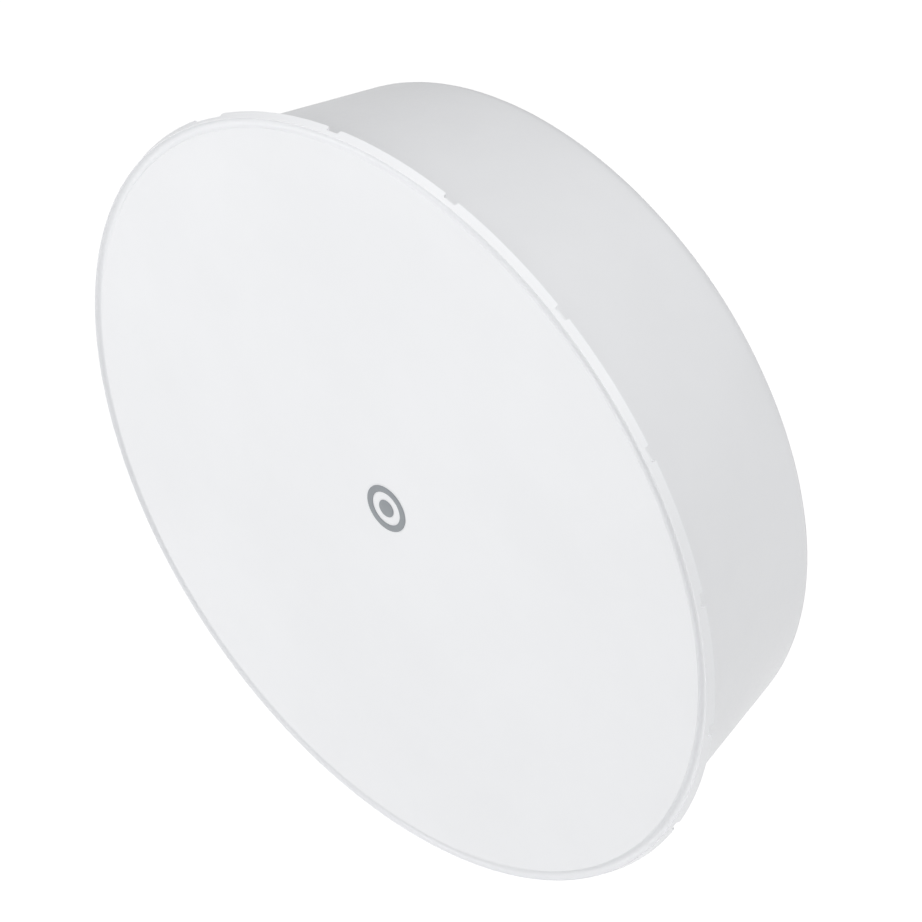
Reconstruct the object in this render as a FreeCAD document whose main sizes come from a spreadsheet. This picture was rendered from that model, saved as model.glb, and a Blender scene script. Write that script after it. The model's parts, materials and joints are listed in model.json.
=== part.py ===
"""Outdoor wireless bridge: shrouded dish antenna on a ball-jointed pole bracket.

Frame: millimetres, +Z up, front of the antenna facing -Y. The origin is the axis of the
pole, at half the height of the mast strap. Everything turned is drawn as radius against
station, where the station is the distance along +Y.
"""
import FreeCAD
import Part
import Sketcher
import os
import re
from FreeCAD import Placement, Rotation, Vector

SIZES = {
    # antenna as a whole
    "axis_height": (95, "dish axis above the origin"),
    "crest_y": (-265, "front crest of the radome rim"),
    "crest_radius": (228, "radius of the crest"),
    "skirt_radius": (229.5, "largest radius, rear edge of the skirt"),
    # radome
    "radome_wall": (2.2, "wall of the front cover"),
    "face_radius": (222.2, "edge of the domed face"),
    "face_lift": (-0.2, "edge of the face ahead of the crest; here it is just behind"),
    "dome_rise": (4.2, "centre of the face ahead of its edge"),
    "dome_arc": (5850, "radius of the domed face"),
    "flat_radius": (14, "flat middle that carries the badge"),
    "trough_arc": (2.9, "radius of the trough between the face and the crest"),
    "crest_inner": (227.6, "inner edge of the crest"),
    "crest_arc": (0.5, "radius of the crest's edge"),
    "badge_ring": (14, "outer radius of the badge's ring"),
    "badge_bore": (10.2, "inner radius of the badge's ring"),
    "badge_dot": (5.2, "radius of the badge's dot"),
    "badge_thick": (0.4, "thickness of the badge"),
    "rim_inner": (213, "inner radius of the rear face that presses the seal"),
    "rim_depth": (5.7, "rear face of the rim behind the crest"),
    "notch_count": (7, "narrow notches in each half of the skirt"),
    "notch_spacing": (21.3, "angle from one narrow notch to the next"),
    "notch_half": (4.2, "half width of a narrow notch"),
    "slot_half": (12.8, "half width of each of the two wide notches"),
    "notch_floor": (3.2, "notch floor behind the crest"),
    "notch_round": (0.8, "corner radius in a notch"),
    "notch_start": (226.2, "radius where the notches start"),
    "notch_phase": (127.4, "angle of the first wide notch"),
    # shroud
    "shroud_wall": (2.2, "wall of the shroud"),
    "shroud_depth": (122, "rear face of the shroud behind the crest"),
    "shroud_front": (219.8, "outer radius at the front"),
    "shroud_taper": (0.2406, "radius lost per millimetre of depth"),
    "shroud_corner": (15.4, "radius of the rear corner"),
    "shroud_mouth": (169, "inner radius of the rear flange"),
    "flange_bore": (212, "inner radius of the front flange"),
    "flange_radius": (222.5, "outer radius of the front flange"),
    "flange_thick": (3, "thickness of the front flange"),
    "seal_inner": (214.5, "inner radius of the seal"),
    "seal_outer": (217.5, "outer radius of the seal"),
    "seal_depth": (1.6, "depth of the seal groove"),
    # dish
    "dish_mouth": (167, "radius of the bowl"),
    "dish_rim": (180, "radius of the rim flange"),
    "dish_wall": (1.2, "sheet thickness"),
    "dish_lip": (3, "depth of the turned rim edge"),
    "hub_radius": (48, "radius of the flat hub"),
    "hub_bore": (28, "radius of the centre hole"),
    "rim_bolt_circle": (174.5, "radius of the rim screw circle"),
    "rim_bolt_count": (8, "rim screws"),
    "screw_radius": (2, "shank of an M4 screw"),
    "hole_radius": (2.2, "clearance hole for M4"),
    "head_radius": (3.8, "pan head radius"),
    "head_height": (2.4, "pan head height"),
    "cross_half": (0.5, "half width of a recess in a head"),
    "cross_reach": (2.6, "half length of a recess in a head"),
    "cross_depth": (1.2, "depth of a recess in a head"),
    "nut_corner": (4.2, "corner radius of an M4 nut"),
    "nut_height": (3.2, "height of an M4 nut"),
    "hub_head": (3.4, "radius of a hub screw's head"),
    "hub_shank": (14, "length of a hub screw under the flange"),
    # rear housing
    "barrel_radius": (42, "radius of the round housing"),
    "barrel_front": (-91, "front face of the housing"),
    "barrel_rear": (-61, "rear face of the housing"),
    "barrel_wall": (2.5, "wall of the housing"),
    "lobe_radius": (26, "radius of the lower lobe"),
    "lobe_rear": (-67, "rear face of the lower lobe"),
    "lobe_wall": (8, "rear wall of the lower lobe"),
    "web_half": (22, "half width of the web to the lobe"),
    "boss_circle": (34, "radius of the hub screw circle"),
    "boss_radius": (5.8, "radius of a screw boss"),
    "rail_inner": (22.4, "inner face of a cover rail"),
    "rail_outer": (25, "outer face of a cover rail"),
    "rail_lip": (20.6, "inner edge of the rail's lip"),
    "rail_height": (3.5, "rail height off the housing"),
    "rail_below": (23, "lower end of the rails under the dish axis"),
    "rail_above": (27, "upper end of the rails over the dish axis"),
    "window_half": (17, "half width of the port window"),
    "window_below": (14, "lower edge of the window under the dish axis"),
    "window_above": (11, "upper edge of the window over the dish axis"),
    "light_x": (-31, "station of the row of lights"),
    "light_radius": (1.25, "radius of a light pipe"),
    "plate_half": (20, "half width of the port plate"),
    "plate_thick": (1.8, "thickness of the port plate"),
    "jack_half": (8, "half width of the jack"),
    "jack_below": (7, "underside of the jack under the dish axis"),
    "jack_above": (6.5, "top of the jack over the dish axis"),
    "jack_set": (2.6, "jack's rear face in from the housing's"),
    "jack_length": (17, "length of the jack"),
    "plug_half": (5.9, "half width of the jack's mouth"),
    "plug_depth": (14, "depth of the jack's mouth"),
    "mouth_top": (3, "roof of the jack's mouth over the dish axis"),
    "contact_pitch": (1.02, "pitch of the jack's contacts"),
    "contact_half": (0.2, "half width of a contact"),
    "contact_thick": (0.3, "thickness of a contact"),
    "button_x": (12.5, "station of the reset button"),
    "button_radius": (2.2, "radius of the reset button"),
    "cover_half": (22, "half width of the port cover"),
    "cover_below": (17, "lower edge of the cover under the dish axis"),
    "cover_above": (13, "upper edge of the cover over the dish axis"),
    # feed
    "tube_radius": (26, "outer radius of the feed tube"),
    "tube_bore": (23.5, "inner radius of the feed tube"),
    "tube_front": (-212, "front end of the feed tube"),
    "tube_rear": (-88, "rear end of the feed tube"),
    "cap_radius": (29, "radius of the feed cap"),
    "cap_front": (-226, "front of the feed cap"),
    "cap_rear": (-196, "rear edge of the feed cap"),
    "cap_wall": (2.5, "front wall of the feed cap"),
    "board_half": (20, "half width of the radio board"),
    "board_thick": (1.6, "thickness of the radio board"),
    "can_half": (13, "half width of the board's shield"),
    "can_height": (5, "height of the shield"),
    "can_wall": (0.5, "sheet of the shield"),
    # ball joint
    "ball_y": (-43, "station of the ball's centre"),
    "ball_height": (17, "height of the ball's centre"),
    "ball_radius": (14, "radius of the ball"),
    "ball_fit": (0.05, "running fit of the ball"),
    "body_gap": (0.3, "gap between moving pieces"),
    "stem_radius": (6, "stem between ball and housing"),
    "stud_radius": (5, "threaded end of the stud"),
    "stud_flange": (11, "radius of the stud's flange"),
    "stud_length": (17, "length of the stud's threaded end"),
    "stud_nut_corner": (9.8, "corner radius of the stud's nut"),
    "neck_radius": (21, "threaded neck of the bracket"),
    "neck_front": (-44, "front end of the neck"),
    "ring_radius": (24.5, "outer radius of the lock ring"),
    "ring_front": (-55, "front face of the lock ring"),
    "ring_rear": (-33.4, "rear face of the lock ring"),
    "ring_lip": (3, "thickness of the ring's front lip"),
    "ring_opening": (12.2, "opening in the ring's lip"),
    # pole bracket and strap
    "pole_radius": (24.1, "radius of the saddle and strap bore"),
    "saddle_half": (29, "half width of the saddle block"),
    "saddle_front": (-33, "front face of the saddle block"),
    "saddle_rear": (-9, "tips of the saddle block"),
    "saddle_bottom": (-42, "lower end of the saddle block"),
    "saddle_top": (42, "upper end of the saddle block"),
    "strap_thick": (0.9, "thickness of the strap"),
    "strap_half": (6.5, "half height of the strap"),
    "strap_front": (-26.75, "inner face of the strap inside the block"),
    "worm_x": (-31, "axis of the strap screw"),
    "worm_radius": (4.4, "radius of the strap screw"),
    "worm_rear": (12.4, "rear end of the strap screw's shank"),
    "worm_head": (6.6, "corner radius of the strap screw's head"),
    "house_front": (-8, "front end of the strap housing"),
    "house_rear": (12, "rear end of the strap housing"),
    "house_half": (8, "half height of the strap housing"),
}

doc = FreeCAD.newDocument("wireless_bridge")
sheet = doc.addObject("Spreadsheet::Sheet", "Sizes")
for line, (word, (number, note)) in enumerate(SIZES.items(), start=1):
    sheet.set(f"A{line}", word)
    sheet.set(f"B{line}", str(number))
    sheet.setAlias(f"B{line}", word)
    sheet.set(f"C{line}", note)
doc.recompute()

ALONG_Y = Rotation(Vector(1, 0, 0), -90)
UPRIGHT = Rotation()
NODES = {}


def size(text):
    """Value of a sheet expression."""
    return float(sheet.evalExpression(str(text)))


def bound(text):
    """The same expression, as another object of the document has to write it."""
    return re.sub(r"[a-z]+_[a-z_]+", lambda found: "Sizes." + found.group(0), str(text))


def bind(thing, **expressions):
    for name, text in expressions.items():
        thing.setExpression(name, bound(text))


def put(thing, turn, x=0, y=0, z=0):
    """Place an object at bound coordinates."""
    thing.Placement = Placement(Vector(size(x), size(y), size(z)), turn)
    for axis, text in zip("xyz", (x, y, z)):
        thing.setExpression(f".Placement.Base.{axis}", bound(text))
    return thing


def node(thing, label):
    thing.Label = label
    NODES[label] = thing
    return thing


# ---------------------------------------------------------------- Part primitives

def bar(name, radius, start, end, x=0, z=0):
    """Round bar along Y from one station to another."""
    thing = doc.addObject("Part::Cylinder", name)
    bind(thing, Radius=radius, Height=f"({end}) - ({start})")
    return put(thing, ALONG_Y, x, start, z)


def hexagon(name, corner_radius, start, end, x=0, z=0):
    thing = doc.addObject("Part::Prism", name)
    thing.Polygon = 6
    bind(thing, Circumradius=corner_radius, Height=f"({end}) - ({start})")
    return put(thing, ALONG_Y, x, start, z)


def block(name, x, y, z):
    """Box between pairs of bound coordinates."""
    thing = doc.addObject("Part::Box", name)
    bind(thing, Length=f"({x[1]}) - ({x[0]})", Width=f"({y[1]}) - ({y[0]})", Height=f"({z[1]}) - ({z[0]})")
    return put(thing, UPRIGHT, x[0], y[0], z[0])


def cut(name, base, *tools):
    tool = tools[0] if len(tools) == 1 else fuse(name + "_tools", *tools)
    thing = doc.addObject("Part::Cut", name)
    thing.Base = base
    thing.Tool = tool
    return thing


def fuse(name, *pieces):
    thing = doc.addObject("Part::MultiFuse", name)
    thing.Shapes = list(pieces)
    return thing


def copies_round(name, piece, count, centre_z, first=0.0, sweep=360.0):
    """Copies of a piece turned about the Y axis at a height."""
    doc.recompute()
    centre = Vector(0, 0, size(centre_z))
    turned = []
    for index in range(count):
        shape = piece.Shape.copy()
        shape.rotate(centre, Vector(0, 1, 0), -(first + index * sweep / count))
        turned.append(shape)
    thing = doc.addObject("Part::Feature", name)
    thing.Shape = Part.makeCompound(turned)
    return thing


def rounded(name, piece, radius, wanted):
    """Fillet the edges of a piece that a test picks."""
    doc.recompute()
    thing = doc.addObject("Part::Fillet", name)
    thing.Base = piece
    picked = [number for number, edge in enumerate(piece.Shape.Edges, start=1) if wanted(edge)]
    thing.Edges = [(number, radius, radius) for number in picked]
    return thing


def circle_at(radius, station):
    """Test for a full circle about a Y axis."""
    def wanted(edge):
        curve = edge.Curve
        if not isinstance(curve, Part.Circle):
            return False
        return abs(curve.Radius - size(radius)) < 0.01 and abs(curve.Center.y - size(station)) < 0.01
    return wanted


# ---------------------------------------------------------------- PartDesign bodies

def new_body(name):
    return doc.addObject("PartDesign::Body", name)


def sketch_on(body, role, name, corners):
    """Closed outline on a body's own origin plane.

    A corner is (across, along) or (across, along, arc). The arc is the radius of the curve
    that leads to the next corner: positive when it bows to the left of the way there.
    """
    sketch = body.newObject("Sketcher::SketchObject", name)
    plane = next(part for part in body.Origin.OriginFeatures if part.Role == role)
    sketch.AttachmentSupport = [(plane, "")]
    sketch.MapMode = "FlatFace"
    spots = [Vector(size(corner[0]), size(corner[1]), 0) for corner in corners]
    starts = []
    ends = []
    for index, corner in enumerate(corners):
        here = spots[index]
        there = spots[(index + 1) % len(spots)]
        if len(corner) == 2:
            geometry = sketch.addGeometry(Part.LineSegment(here, there), False)
            flipped = False
        else:
            geometry = sketch.addGeometry(arc_between(here, there, size(corner[2])), False)
            flipped = size(corner[2]) > 0
        starts.append((geometry, 2 if flipped else 1))
        ends.append((geometry, 1 if flipped else 2))
    for index in range(len(corners)):
        after = (index + 1) % len(corners)
        sketch.addConstraint(Sketcher.Constraint("Coincident", *ends[index], *starts[after]))
    for index, corner in enumerate(corners):
        pin(sketch, starts[index], "DistanceX", corner[0], -2)
        pin(sketch, starts[index], "DistanceY", corner[1], -1)
        if len(corner) == 3:
            radius = abs(size(corner[2]))
            number = sketch.addConstraint(Sketcher.Constraint("Radius", starts[index][0], radius))
            sketch.setExpression(f"Constraints[{number}]", f"abs({bound(corner[2])})")
    return sketch


def arc_between(here, there, radius):
    """Arc drawn anticlockwise, so one that bows to the left runs back from its end."""
    half = (there - here) * 0.5
    left = Vector(-half.y, half.x, 0).normalize()
    bow = abs(radius) - (radius * radius - half.Length ** 2) ** 0.5
    middle = here + half + left * (bow if radius > 0 else -bow)
    if radius > 0:
        return Part.Arc(there, middle, here)
    return Part.Arc(here, middle, there)


def pin(sketch, spot, kind, text, axis):
    """Hold one coordinate of a corner: on the axis when it is nought."""
    value = size(text)
    if value == 0:
        sketch.addConstraint(Sketcher.Constraint("PointOnObject", *spot, axis))
        return
    number = sketch.addConstraint(Sketcher.Constraint(kind, -1, 1, *spot, value))
    sketch.setExpression(f"Constraints[{number}]", bound(text))


def turned(name, corners, z, phase=0.0):
    """Body turned about a Y axis at a height, from a (radius, station) outline."""
    body = new_body(name)
    sketch = sketch_on(body, "XY_Plane", name + "_outline", corners)
    turn = body.newObject("PartDesign::Revolution", name + "_turn")
    turn.Profile = sketch
    turn.ReferenceAxis = (sketch, ["V_Axis"])
    turn.Angle = 360
    sketch.Visibility = False
    put(body, Rotation(Vector(0, 1, 0), -phase), 0, 0, z)
    return body


def polar_pocket(body, name, role, corners, count, offset=None, length=None, start=None, sweep="360"):
    """Pocket repeated about the body's Y axis, over a sweep from a start angle."""
    doc.recompute()
    before = body.Shape.Volume
    sketch = sketch_on(body, role, name + "_outline", corners)
    if offset is not None:
        sketch.AttachmentOffset = Placement(Vector(0, 0, size(offset)), Rotation())
        sketch.setExpression(".AttachmentOffset.Base.z", bound(offset))
    if start is not None:
        angle = size(start)
        tilt = Rotation(Vector(1, 0, 0), angle)
        sketch.AttachmentOffset = Placement(tilt.multVec(Vector(0, 0, size(offset))), tilt)
        sketch.setExpression(".AttachmentOffset.Base.y", f"-({bound(offset)}) * sin(({bound(start)}) * 1 deg)")
        sketch.setExpression(".AttachmentOffset.Base.z", f"({bound(offset)}) * cos(({bound(start)}) * 1 deg)")
    pocket = body.newObject("PartDesign::Pocket", name)
    pocket.Profile = sketch
    if length is None:
        pocket.Type = "ThroughAll"
        pocket.Midplane = True
    else:
        pocket.Reversed = True
        bind(pocket, Length=length)
    doc.recompute()
    removed = before - body.Shape.Volume
    pattern = body.newObject("PartDesign::PolarPattern", name + "_ring")
    pattern.Originals = [pocket]
    axis = next(part for part in body.Origin.OriginFeatures if part.Role == "Y_Axis")
    pattern.Axis = (axis, [""])
    bind(pattern, Angle=sweep)
    pattern.Occurrences = count
    body.Tip = pattern
    doc.recompute()
    if not 0.9 * count * removed < before - body.Shape.Volume < 1.1 * count * removed:
        raise RuntimeError(f"{name}: the pattern cut {before - body.Shape.Volume:.1f} mm3")
    return body


# ---------------------------------------------------------------- antenna front

def skirt_notch(body, name, half, count, start, sweep):
    """Notches with rounded corners cut into the skirt from behind."""
    rear = "crest_y + rim_depth"
    floor = "crest_y + notch_floor"
    wide = f"{half} + notch_round"
    narrow = f"{half} - notch_round"
    return polar_pocket(body, name, "YZ_Plane", [
        (f"{rear} + 1", f"-({wide})"),
        (f"{rear} + 1", wide),
        (rear, wide, "-notch_round"),
        (f"{rear} - notch_round", half),
        (f"{floor} + notch_round", half, "notch_round"),
        (floor, narrow),
        (floor, f"-({narrow})", "notch_round"),
        (f"{floor} + notch_round", f"-{half}"),
        (f"{rear} - notch_round", f"-{half}", "-notch_round"),
        (rear, f"-({wide})"),
    ], count, "notch_start", "8", start, sweep)


def radome_cover():
    """Domed disc with a trough inside its crest, a notched skirt and a land on the seal."""
    front = "crest_y - face_lift - dome_rise"
    edge = "crest_y - face_lift"
    rear = "crest_y + rim_depth"
    body = turned("radome_cover", [
        (0, front),
        ("flat_radius", front, "-dome_arc"),
        ("face_radius", edge, "trough_arc"),
        ("crest_inner", "crest_y + 0.6", "-crest_arc"),
        ("crest_radius", "crest_y + 0.4"),
        ("skirt_radius", rear),
        ("rim_inner", rear),
        ("rim_inner", f"{edge} + radome_wall - 0.3", "dome_arc"),
        ("flat_radius", f"{front} + radome_wall"),
        (0, f"{front} + radome_wall"),
    ], "axis_height", size("notch_phase"))
    count = int(size("notch_count"))
    span = "(notch_count - 1) * notch_spacing"
    skirt_notch(body, "wide_notch", "slot_half", 2, "0", "360")
    for half in (0, 1):
        start = f"90 - {span} / 2 + {180 * half}"
        skirt_notch(body, f"narrow_notch_{half + 1}", "notch_half", count, start, span)
    return node(body, "radome_cover")


def front_badge():
    """Plain ring and dot, a thin foil on the middle of the face."""
    face = "crest_y - face_lift - dome_rise"
    front = f"{face} - badge_thick"
    ring = cut("badge_ring_cut", bar("badge_disc", "badge_ring", front, face, 0, "axis_height"),
               bar("badge_hole", "badge_bore", f"{face} - 1", f"{face} + 1", 0, "axis_height"))
    dot = bar("badge_middle", "badge_dot", front, face, 0, "axis_height")
    return node(fuse("badge", ring, dot), "front_badge")


def radome_seal():
    front = "crest_y + rim_depth"
    return node(turned("radome_seal", [
        ("seal_inner", front),
        ("seal_outer", front),
        ("seal_outer", f"{front} + seal_depth"),
        ("seal_inner", f"{front} + seal_depth"),
    ], "axis_height"), "radome_seal")


def shroud_turning():
    """Tapered shell with a front flange, a rounded rear corner and a rear flange."""
    front = "crest_y + rim_depth"
    flange = f"{front} + flange_thick"
    lean = "sqrt(1 + shroud_taper ^ 2)"
    corner_y = f"(shroud_depth - shroud_corner + shroud_corner * shroud_taper / {lean})"
    corner = f"(shroud_front - shroud_taper * ({corner_y} - rim_depth - flange_thick))"
    centre = f"({corner} - shroud_corner / {lean})"
    inside = "(shroud_corner - shroud_wall)"
    return turned("shroud_turning", [
        ("flange_bore", front),
        ("seal_inner", front),
        ("seal_inner", f"{front} + seal_depth"),
        ("seal_outer", f"{front} + seal_depth"),
        ("seal_outer", front),
        ("flange_radius", front),
        ("flange_radius", flange),
        ("shroud_front", flange),
        (corner, f"crest_y + {corner_y}", "-shroud_corner"),
        (centre, "crest_y + shroud_depth"),
        ("shroud_mouth", "crest_y + shroud_depth"),
        ("shroud_mouth", "crest_y + shroud_depth - shroud_wall"),
        (centre, "crest_y + shroud_depth - shroud_wall", f"{inside}"),
        (f"{centre} + {inside} / {lean}",
         f"crest_y + shroud_depth - shroud_corner + {inside} * shroud_taper / {lean}"),
        (f"shroud_front - shroud_wall * {lean}", flange),
        ("flange_bore", flange),
    ], "axis_height")


def bolt_ring(name, start, end, radius):
    """Round bars on the rim screw circle."""
    first = bar(name + "_first", radius, start, end, "rim_bolt_circle", "axis_height")
    return copies_round(name, first, int(size("rim_bolt_count")), "axis_height", 22.5)


def hub_ring(name, start, end, radius):
    """Round bars on the hub screw circle."""
    first = bar(name + "_first", radius, start, end, "boss_circle", "axis_height")
    return copies_round(name, first, 4, "axis_height", 45)


def shroud():
    """The turned shell, drilled for the rim screws."""
    back = "crest_y + shroud_depth"
    holes = bolt_ring("shroud_holes", f"{back} - 6", f"{back} + 3", "hole_radius")
    return node(cut("shroud_drilled", shroud_turning(), holes), "shroud")


def recess(name, width, height, head_rear):
    """One slot of a cross recess in the head of the first rim screw."""
    x = (f"rim_bolt_circle - {width}", f"rim_bolt_circle + {width}")
    z = (f"axis_height - {height}", f"axis_height + {height}")
    return block(name, x, (f"{head_rear} - cross_depth", f"{head_rear} + 1"), z)


def rim_screws():
    seat = "crest_y + shroud_depth + dish_wall"
    head_rear = f"{seat} + head_height"
    head = bar("rim_head", "head_radius", seat, head_rear, "rim_bolt_circle", "axis_height")
    shank = bar("rim_shank", "screw_radius", f"{seat} - 9", seat, "rim_bolt_circle", "axis_height")
    screw = cut("rim_screw", fuse("rim_screw_blank", head, shank),
                recess("rim_slot", "cross_half", "cross_reach", head_rear),
                recess("rim_cross", "cross_reach", "cross_half", head_rear))
    return node(copies_round("rim_screw_set", screw, int(size("rim_bolt_count")), "axis_height", 22.5),
                "rim_screws")


def rim_nuts():
    seat = "crest_y + shroud_depth - shroud_wall"
    blank = hexagon("rim_nut_blank", "nut_corner", f"{seat} - nut_height", seat, "rim_bolt_circle",
                    "axis_height")
    hole = bar("rim_nut_bore", "screw_radius", f"{seat} - 5", f"{seat} + 2", "rim_bolt_circle", "axis_height")
    nut = cut("rim_nut", blank, hole)
    return node(copies_round("rim_nut_set", nut, int(size("rim_bolt_count")), "axis_height", 22.5),
                "rim_nuts")


HUB_FRONT = "barrel_front - 1 - dish_wall"


def dish_focus():
    """Focal length that brings the flat hub to the housing's gasket."""
    reach = size(HUB_FRONT) - size("crest_y + shroud_depth")
    return (size("dish_mouth") ** 2 - size("hub_radius") ** 2) / (4 * reach)


def bowl_curve(radius_from, radius_to, rim_station):
    """Parabola of the bowl between two radii, as (radius, station) points on one curve."""
    mouth = size("dish_mouth")
    focus = dish_focus()
    steps = 12
    points = []
    for step in range(steps + 1):
        radius = radius_from + (radius_to - radius_from) * step / steps
        points.append(Vector(radius, rim_station + (mouth ** 2 - radius ** 2) / (4 * focus), 0))
    curve = Part.BSplineCurve()
    curve.interpolate(points)
    return curve.toShape(), points[0], points[-1]


def dish_reflector():
    """Pressed paraboloid with a flat hub, a rim flange and a turned edge."""
    front = size("crest_y + shroud_depth")
    back = front + size("dish_wall")
    hub = size("hub_radius")
    bore = size("hub_bore")
    mouth = size("dish_mouth")
    rim = size("dish_rim")
    face, hub_front, mouth_front = bowl_curve(hub, mouth, front)
    rear, mouth_back, hub_back = bowl_curve(mouth, hub, back)
    lip = back + size("dish_lip")
    inner_lip = rim - size("dish_wall")
    flange = Part.makePolygon([mouth_front, Vector(rim, front, 0), Vector(rim, lip, 0),
                               Vector(inner_lip, lip, 0), Vector(inner_lip, back, 0), mouth_back])
    disc = Part.makePolygon([hub_back, Vector(bore, hub_back.y, 0), Vector(bore, hub_front.y, 0), hub_front])
    outline = Part.Wire(Part.__sortEdges__([face, rear] + flange.Edges + disc.Edges))
    bowl = doc.addObject("Part::Feature", "bowl")
    bowl.Shape = Part.Face(outline).revolve(Vector(0, 0, 0), Vector(0, 1, 0), 360)
    bowl.Placement = Placement(Vector(0, 0, size("axis_height")), Rotation())
    rim_holes = bolt_ring("dish_rim_holes", "crest_y + shroud_depth - 2", "crest_y + shroud_depth + 3",
                          "hole_radius")
    hub_holes = hub_ring("dish_hub_holes", "barrel_front - 6", "barrel_front + 1", "hole_radius")
    return node(cut("drilled_dish", bowl, rim_holes, hub_holes), "dish_reflector")


# ---------------------------------------------------------------- rear housing

LIGHT_OFFSETS = (-12, -4, 4, 12)


def hub_gasket():
    return node(turned("hub_gasket", [
        ("barrel_radius - 3", "barrel_front - 1"),
        ("barrel_radius", "barrel_front - 1"),
        ("barrel_radius", "barrel_front"),
        ("barrel_radius - 3", "barrel_front"),
    ], "axis_height"), "hub_gasket")


def rear_housing():
    """Round housing with a lower lobe for the ball stud and rails for the port cover."""
    high = "axis_height"
    low = "ball_height"
    barrel = rounded("barrel", bar("barrel_blank", "barrel_radius", "barrel_front", "barrel_rear", 0, high),
                     4, circle_at("barrel_radius", "barrel_rear"))
    lobe = rounded("lobe", bar("lobe_blank", "lobe_radius", "barrel_front", "lobe_rear", 0, low),
                   3, circle_at("lobe_radius", "lobe_rear"))
    web = block("web", ("-web_half", "web_half"), ("barrel_front", "lobe_rear"), (low, high))
    rail_ends = (f"{high} - rail_below", f"{high} + rail_above")
    rail_top = "barrel_rear + rail_height"
    rails = []
    for side in (-1, 1):
        outer = sorted((f"{side} * rail_inner", f"{side} * rail_outer"), key=size)
        lip = sorted((f"{side} * rail_lip", f"{side} * rail_outer"), key=size)
        rails.append(block("rail", outer, ("barrel_rear - 1", rail_top), rail_ends))
        rails.append(block("rail_edge", lip, (f"{rail_top} - 0.8", rail_top), rail_ends))
    shell = fuse("housing_blank", barrel, lobe, web, *rails)
    cavity = bar("cavity", "barrel_radius - barrel_wall - 0.5", "barrel_front - 1",
                 "barrel_rear - barrel_wall", 0, high)
    lobe_cavity = bar("lobe_cavity", "lobe_radius - 4", "barrel_front - 1", "lobe_rear - lobe_wall", 0, low)
    web_cavity = block("web_cavity", ("4 - web_half", "web_half - 4"),
                       ("barrel_front - 1", "lobe_rear - lobe_wall"), (low, f"{high} - 30"))
    hollow = cut("housing_hollow", shell, cavity, lobe_cavity, web_cavity)
    bosses = hub_ring("bosses", "barrel_front", "barrel_rear - barrel_wall", "boss_radius")
    bossed = fuse("housing_bossed", hollow, bosses)
    pilots = hub_ring("pilots", "barrel_front - 1", "barrel_front + 14", "screw_radius")
    stud_hole = bar("stud_hole", "stud_radius", "lobe_rear - 20", "lobe_rear + 1", 0, low)
    port = block("port_window", ("-window_half", "window_half"), ("barrel_rear - 5", "barrel_rear + 1"),
                 (f"{high} - window_below", f"{high} + window_above"))
    holes = light_row("light_hole", "barrel_rear - 4", "barrel_rear + 1")
    return node(cut("housing_finished", bossed, pilots, stud_hole, port, *holes), "rear_housing")


def light_row(name, start, end):
    return [bar(name, "light_radius", start, end, "light_x", f"axis_height + {offset}")
            for offset in LIGHT_OFFSETS]


def light_pipes():
    pipes = light_row("light_pipe", "barrel_rear - 5", "barrel_rear + 0.4")
    doc.recompute()
    group = doc.addObject("Part::Compound", "light_pipe_set")
    group.Links = pipes
    return node(group, "light_pipes")


def housing_screws():
    head = bar("hub_screw_head", "hub_head", f"{HUB_FRONT} - head_height", HUB_FRONT, "boss_circle",
               "axis_height")
    shank = bar("hub_screw_shank", "screw_radius", HUB_FRONT, f"{HUB_FRONT} + hub_shank", "boss_circle",
                "axis_height")
    screw = fuse("hub_screw", head, shank)
    return node(copies_round("hub_screw_set", screw, 4, "axis_height", 45), "housing_screws")


def port_plate():
    """Inner plate behind the window, with the jack and button openings."""
    high = "axis_height"
    rear = "barrel_rear - barrel_wall"
    plate = block("port_plate_blank", ("-plate_half", "plate_half"), (f"{rear} - plate_thick", rear),
                  (f"{high} - 18", f"{high} + 15"))
    through = ("barrel_rear - 6", "barrel_rear")
    jack_hole = block("jack_hole", ("-jack_half - 0.1", "jack_half + 0.1"), through,
                      (f"{high} - jack_below - 0.1", f"{high} + jack_above + 0.1"))
    button_hole = bar("button_hole", "button_radius + 0.3", *through, "button_x", high)
    return node(cut("port_plate_cut", plate, jack_hole, button_hole), "port_plate")


def ethernet_jack():
    """Eight-way modular jack, its mouth facing the rear."""
    high = "axis_height"
    rear = "barrel_rear - jack_set"
    deep = (f"{rear} - plug_depth", f"{rear} + 1")
    shell = block("jack_shell", ("-jack_half", "jack_half"), (f"{rear} - jack_length", rear),
                  (f"{high} - jack_below", f"{high} + jack_above"))
    mouth = block("jack_mouth", ("-plug_half", "plug_half"), deep, (f"{high} - 4.5", f"{high} + mouth_top"))
    latch = block("jack_latch", (-3, 3), deep, (f"{high} - 5.8", f"{high} - 4"))
    return node(cut("jack_cut", shell, mouth, latch), "ethernet_jack")


def jack_contacts():
    """Eight spring contacts along the roof of the jack's mouth."""
    roof = "axis_height + mouth_top"
    rear = "barrel_rear - jack_set"
    springs = []
    for index in range(8):
        middle = f"({index - 3.5} * contact_pitch)"
        springs.append(block("jack_contact", (f"{middle} - contact_half", f"{middle} + contact_half"),
                             (f"{rear} - plug_depth", f"{rear} - 2"), (f"{roof} - contact_thick", roof)))
    doc.recompute()
    group = doc.addObject("Part::Compound", "jack_contact_set")
    group.Links = springs
    return node(group, "jack_contacts")


def reset_button():
    return node(bar("reset_pin", "button_radius", "barrel_rear - 8", "barrel_rear - 1.8", "button_x",
                    "axis_height"), "reset_button")


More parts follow.
